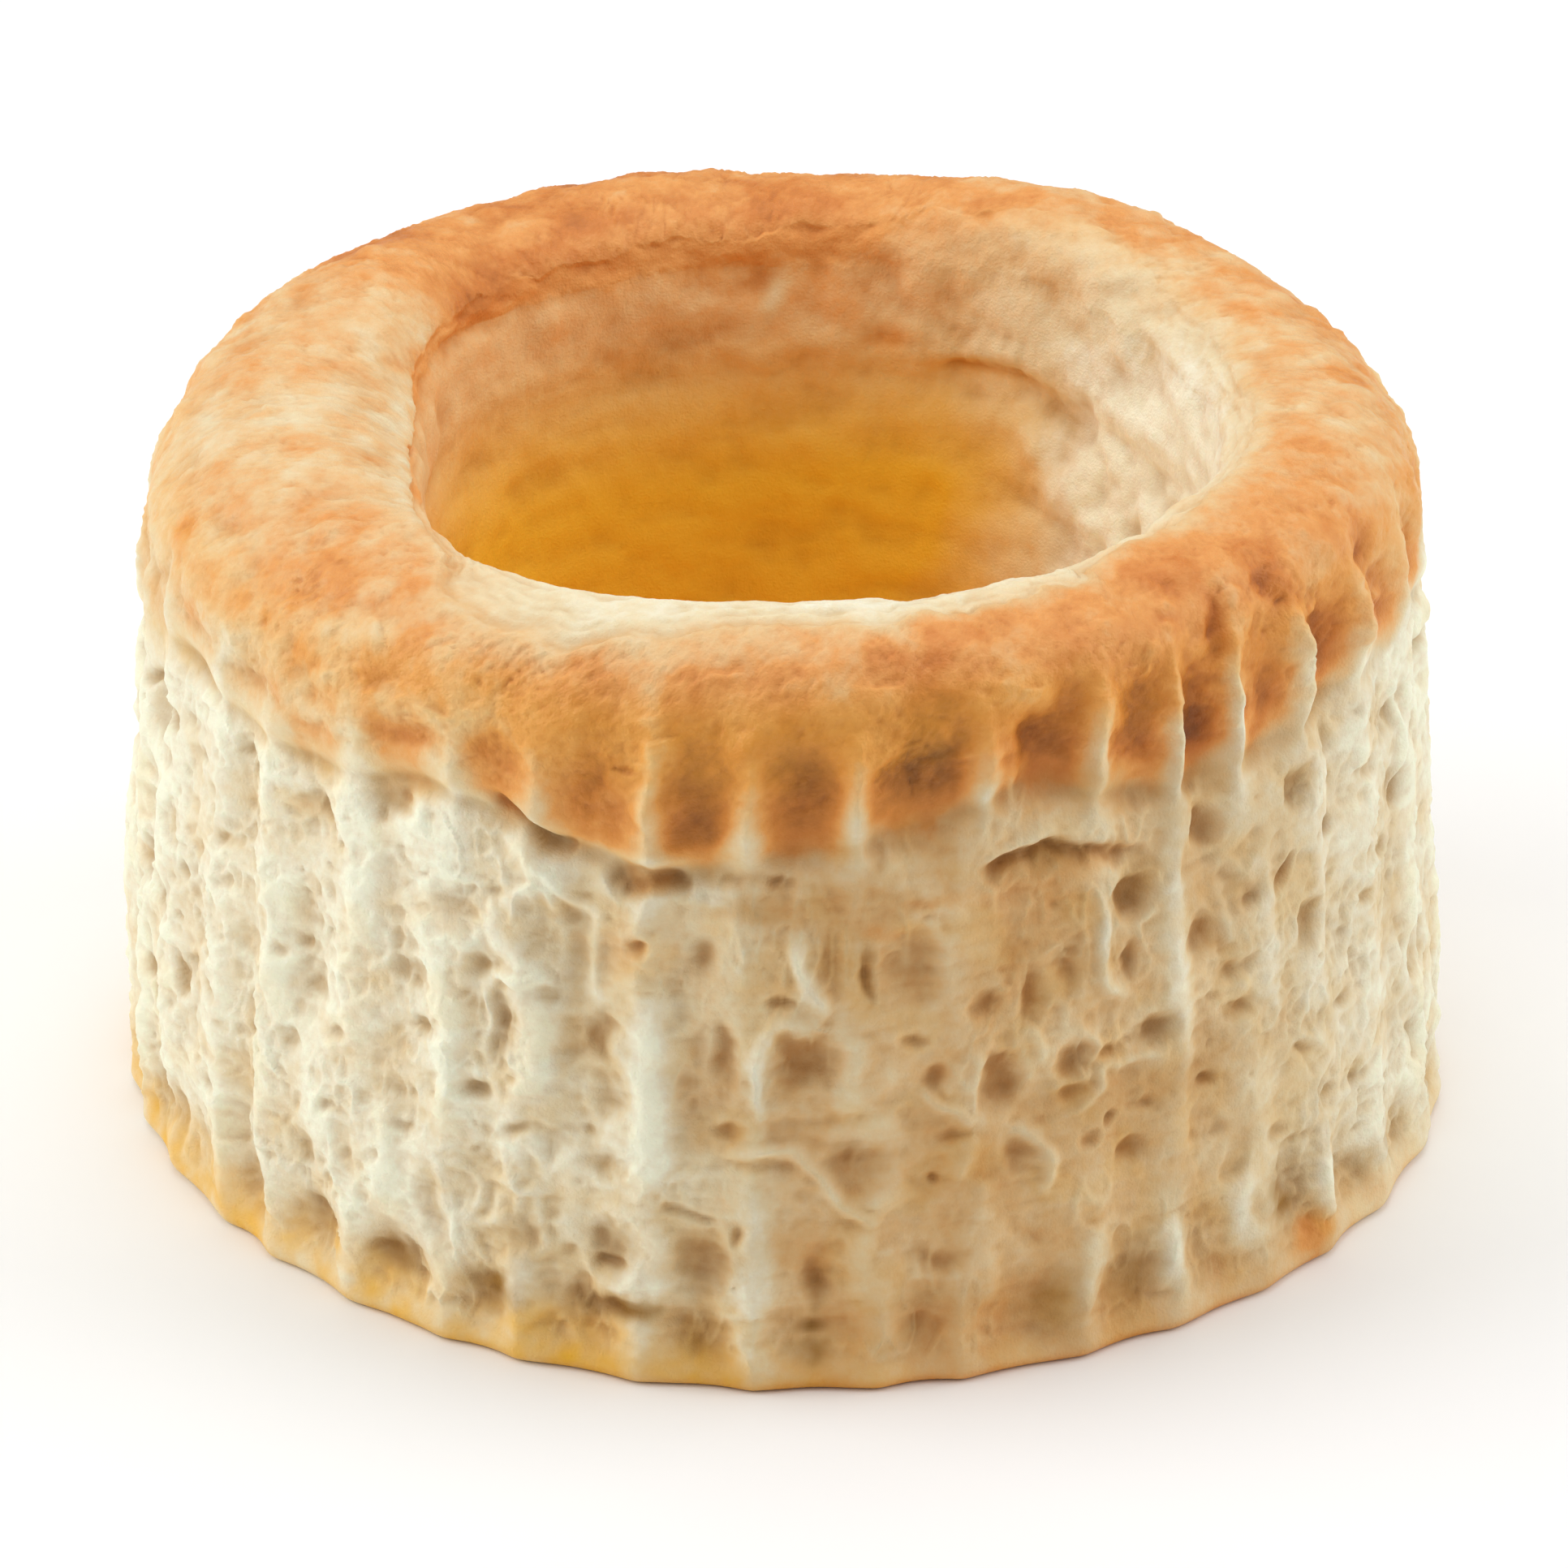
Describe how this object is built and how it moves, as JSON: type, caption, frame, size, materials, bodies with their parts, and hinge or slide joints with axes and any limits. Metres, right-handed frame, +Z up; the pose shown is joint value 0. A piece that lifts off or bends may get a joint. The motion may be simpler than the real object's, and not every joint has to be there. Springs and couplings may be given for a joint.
{
  "type": "vol-au-vent case",
  "caption": "Round baked puff pastry case with a fluted wall, a domed browned rim and an open hollow to fill with a savoury filling.",
  "frame": {"origin": "centre of the bounding box in X and Y, on the flat base the case stands on", "axes": "+Z up out of the hollow's mouth, -Y towards the side the picture shows, +X to that side's right"},
  "size_m": [0.0798, 0.0804, 0.0463],
  "materials": {
    "baked_pastry": "matte"
  },
  "bodies": {
    "root": {"pastry_case": "baked_pastry"}
  },
  "joints": []
}
